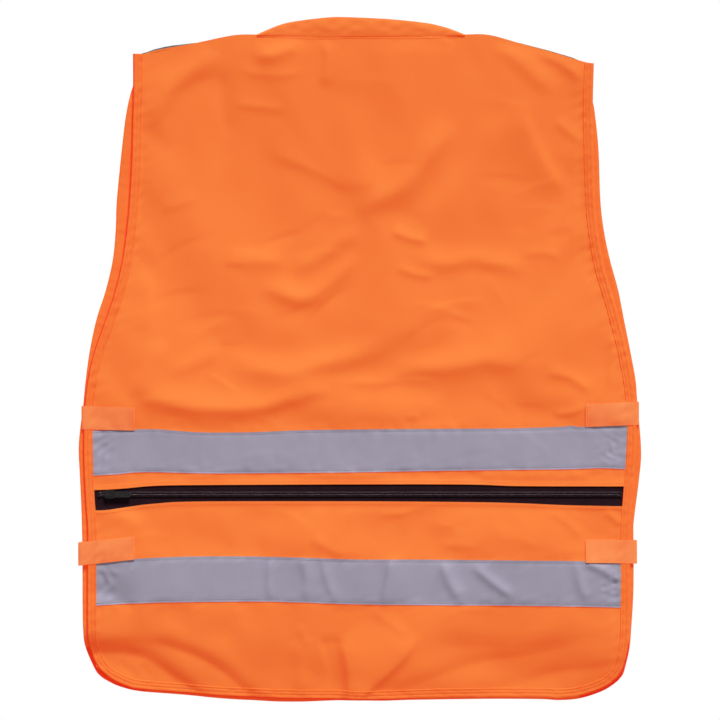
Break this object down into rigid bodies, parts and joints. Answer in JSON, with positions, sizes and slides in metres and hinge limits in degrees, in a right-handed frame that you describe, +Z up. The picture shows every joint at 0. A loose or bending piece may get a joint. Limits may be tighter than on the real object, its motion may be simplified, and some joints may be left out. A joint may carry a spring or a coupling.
{
  "type": "high-visibility work vest",
  "caption": "Sleeveless orange safety vest with two reflective bands all round, a zipped back pocket, elastic side straps, a zipped front and flapped pockets, hanging flat.",
  "frame": {"origin": "eye of the hanger loop inside the back neck, level with the collar seam", "axes": "+Z up the body towards the neck, -Y out of the back of the vest, +X to the wearer's right"},
  "size_m": [0.657, 0.0276, 0.797],
  "materials": {
    "hi_vis_fabric": "fluorescent orange knitted polyester, matt",
    "lining_fabric": "thin fluorescent orange polyester, matt",
    "binding_fabric": "fluorescent orange binding tape, matt",
    "black_fabric": "black woven polyester, matt",
    "reflective_tape": "silver-grey retroreflective tape, satin",
    "elastic": "ribbed orange elastic webbing, matt",
    "zip_tape": "black woven zip tape, matt",
    "zip_coil": "black nylon coil, satin",
    "zip_metal": "black lacquered zinc, glossy",
    "hook_and_loop": "orange hook and loop tape, matt",
    "clear_vinyl": "clear flexible vinyl, glossy"
  },
  "bodies": {
    "vest": {"back_edge_binding": "binding_fabric", "back_lower_panel": "hi_vis_fabric", "back_lower_reflective_tape": "reflective_tape", "back_pocket_bag": "lining_fabric", "back_upper_panel": "hi_vis_fabric", "back_upper_reflective_tape": "reflective_tape", "back_zip_closed_end_stops": "zip_metal", "back_zip_lower_coil": "zip_coil", "back_zip_lower_tape": "zip_tape", "back_zip_open_end_stops": "zip_metal", "back_zip_upper_coil": "zip_coil", "back_zip_upper_tape": "zip_tape", "chest_loop_tape": "hook_and_loop", "chest_pocket": "hi_vis_fabric", "collar_inner": "hi_vis_fabric", "collar_outer": "hi_vis_fabric", "front_zip_insertion_pin": "zip_coil", "front_zip_left_coil": "zip_coil", "front_zip_left_tape": "zip_tape", "front_zip_retainer_box": "zip_coil", "front_zip_right_coil": "zip_coil", "front_zip_right_tape": "zip_tape", "front_zip_top_stops": "zip_metal", "hanger_loop": "black_fabric", "id_window_frame": "black_fabric", "id_window_sheet": "clear_vinyl", "left_front_binding": "binding_fabric", "left_front_lower_reflective_tape": "reflective_tape", "left_front_panel": "hi_vis_fabric", "left_front_upper_reflective_tape": "reflective_tape", "left_front_yoke": "black_fabric", "left_lower_elastic_strap": "elastic", "left_lower_loop_tape": "hook_and_loop", "left_lower_pocket": "hi_vis_fabric", "left_neck_band": "black_fabric", "left_upper_elastic_strap": "elastic", "right_front_binding": "binding_fabric", "right_front_lower_reflective_tape": "reflective_tape", "right_front_panel": "hi_vis_fabric", "right_front_upper_reflective_tape": "reflective_tape", "right_front_yoke": "black_fabric", "right_lower_elastic_strap": "elastic", "right_lower_loop_tape": "hook_and_loop", "right_lower_pocket": "hi_vis_fabric", "right_neck_band": "black_fabric", "right_upper_elastic_strap": "elastic"},
    "back_zip_slider": {"back_zip_slider": "zip_metal"},
    "back_zip_pull": {"back_zip_pull": "zip_metal"},
    "front_zip_slider": {"front_zip_slider": "zip_metal"},
    "front_zip_pull": {"front_zip_pull": "zip_metal"},
    "left_lower_flap": {"left_lower_flap": "hi_vis_fabric", "left_lower_hook_tape": "hook_and_loop"},
    "right_lower_flap": {"right_lower_flap": "hi_vis_fabric", "right_lower_hook_tape": "hook_and_loop"},
    "chest_flap": {"chest_flap": "hi_vis_fabric", "chest_hook_tape": "hook_and_loop"}
  },
  "joints": [
    {"name": "back_zip_travel", "type": "slide", "parent": "vest", "child": "back_zip_slider", "axis": [1, 0, 0], "range_m": [0, 0.586]},
    {"name": "back_zip_pull_swing", "type": "hinge", "parent": "back_zip_slider", "child": "back_zip_pull", "pos_m": [-0.291, -0.0069, -0.533], "axis": [0, 0, -1], "range_deg": [0, 175]},
    {"name": "front_zip_travel", "type": "slide", "parent": "vest", "child": "front_zip_slider", "axis": [0, 0, -1], "range_m": [0, 0.548]},
    {"name": "front_zip_pull_swing", "type": "hinge", "parent": "front_zip_slider", "child": "front_zip_pull", "pos_m": [0, 0.0169, -0.198], "axis": [1, 0, 0], "range_deg": [0, 170]},
    {"name": "left_lower_flap_lift", "type": "hinge", "parent": "vest", "child": "left_lower_flap", "pos_m": [-0.15, 0.01545, -0.514], "axis": [1, 0, 0], "range_deg": [0, 170]},
    {"name": "right_lower_flap_lift", "type": "hinge", "parent": "vest", "child": "right_lower_flap", "pos_m": [0.15, 0.01545, -0.514], "axis": [1, 0, 0], "range_deg": [0, 170]},
    {"name": "chest_flap_lift", "type": "hinge", "parent": "vest", "child": "chest_flap", "pos_m": [-0.17, 0.01545, -0.221], "axis": [1, 0, 0], "range_deg": [0, 170]}
  ]
}
